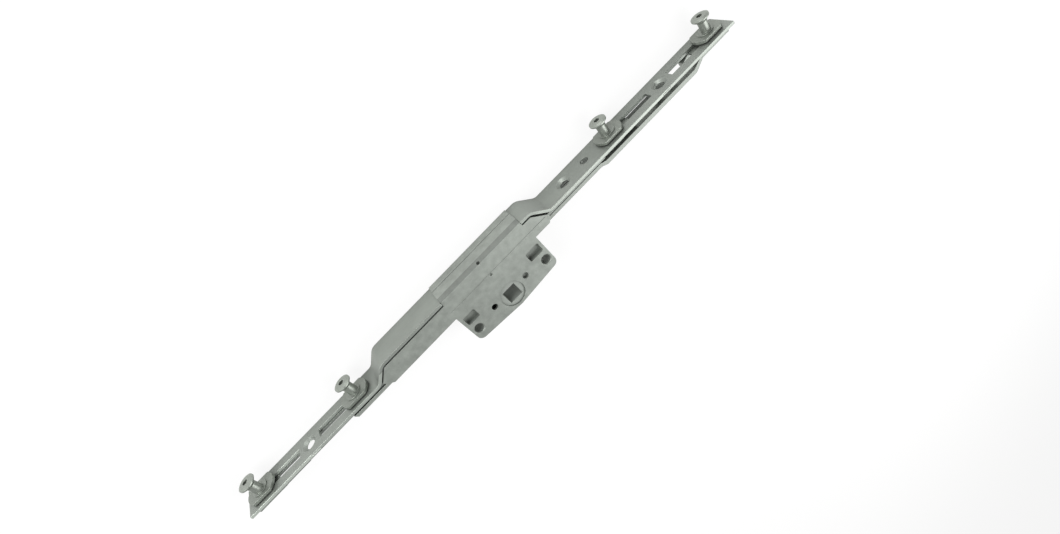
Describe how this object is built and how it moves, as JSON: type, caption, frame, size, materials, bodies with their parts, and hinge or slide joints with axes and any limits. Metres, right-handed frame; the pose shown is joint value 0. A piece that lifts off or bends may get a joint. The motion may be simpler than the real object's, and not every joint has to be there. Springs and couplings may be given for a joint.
{
  "type": "espagnolette window lock",
  "caption": "Flat window espagnolette with a square spindle hole, cranked faceplate and mushroom studs that slide apart and together in slots as the spindle turns.",
  "frame": {"origin": "on the spindle's axis, in the mid-plane of the faceplate's width", "axes": "+X along the lock, +Y from the spindle towards the studs, square to the faceplate, +Z along the spindle, out of the flush front face of the case"},
  "size_m": [0.2993, 0.0348, 0.016],
  "materials": {
    "faceplate_zinc": "satin zinc-plated steel strip",
    "case_zinc": "satin grey zinc casting",
    "gear_steel": "sintered steel, oiled",
    "pin_steel": "turned steel",
    "rod_zinc": "satin zinc-plated steel",
    "pad_zinc": "satin zinc casting",
    "stud_zinc": "turned, zinc-plated steel"
  },
  "bodies": {
    "base": {"end_plate_left": "faceplate_zinc", "end_plate_right": "faceplate_zinc", "main_plate_left": "faceplate_zinc", "main_plate_right": "faceplate_zinc", "case_front": "case_zinc", "case_back": "case_zinc", "pinion_pin": "pin_steel"},
    "spindle": {"spindle_gear": "gear_steel"},
    "pinion": {"reversing_pinion": "gear_steel"},
    "inner_rod": {"drive_rod_inner": "rod_zinc", "stud_pad_1": "pad_zinc", "stud_pad_3": "pad_zinc", "stud_washers_inner": "pin_steel"},
    "outer_rod": {"drive_rod_outer": "rod_zinc", "stud_pad_2": "pad_zinc", "stud_pad_4": "pad_zinc", "stud_washers_outer": "pin_steel"},
    "cam_1": {"stud_1": "stud_zinc"},
    "cam_2": {"stud_2": "stud_zinc"},
    "cam_3": {"stud_3": "stud_zinc"},
    "cam_4": {"stud_4": "stud_zinc"}
  },
  "joints": [
    {"name": "spindle_turn", "type": "hinge", "parent": "base", "child": "spindle", "pos_m": [0, 0, 0], "axis": [0, 0, 1], "range_deg": [0, 90]},
    {"name": "inner_rod_slide", "type": "slide", "parent": "base", "child": "inner_rod", "axis": [1, 0, 0], "range_m": [0, 0.01822]},
    {"name": "outer_rod_slide", "type": "slide", "parent": "base", "child": "outer_rod", "axis": [1, 0, 0], "range_m": [-0.01822, 0]},
    {"name": "pinion_spin", "type": "hinge", "parent": "base", "child": "pinion", "pos_m": [-0.004, 0.0175, 0], "axis": [0, 0, 1], "range_deg": [-435.01, 0]},
    {"name": "stud_1_turn", "type": "hinge", "parent": "inner_rod", "child": "cam_1", "pos_m": [-0.137, 0.0194, 0], "axis": [0, 1, 0], "range_deg": [-90, 90]},
    {"name": "stud_2_turn", "type": "hinge", "parent": "outer_rod", "child": "cam_2", "pos_m": [-0.0794, 0.0194, 0], "axis": [0, 1, 0], "range_deg": [-90, 90]},
    {"name": "stud_3_turn", "type": "hinge", "parent": "inner_rod", "child": "cam_3", "pos_m": [0.0807, 0.0194, 0], "axis": [0, 1, 0], "range_deg": [-90, 90]},
    {"name": "stud_4_turn", "type": "hinge", "parent": "outer_rod", "child": "cam_4", "pos_m": [0.14401, 0.0194, 0], "axis": [0, 1, 0], "range_deg": [-90, 90]}
  ],
  "couplings": [
    {"joint": "spindle_turn", "follows": "outer_rod_slide", "rad_per_m": -86.207},
    {"joint": "inner_rod_slide", "follows": "outer_rod_slide", "ratio": -1},
    {"joint": "pinion_spin", "follows": "outer_rod_slide", "rad_per_m": 416.67}
  ]
}
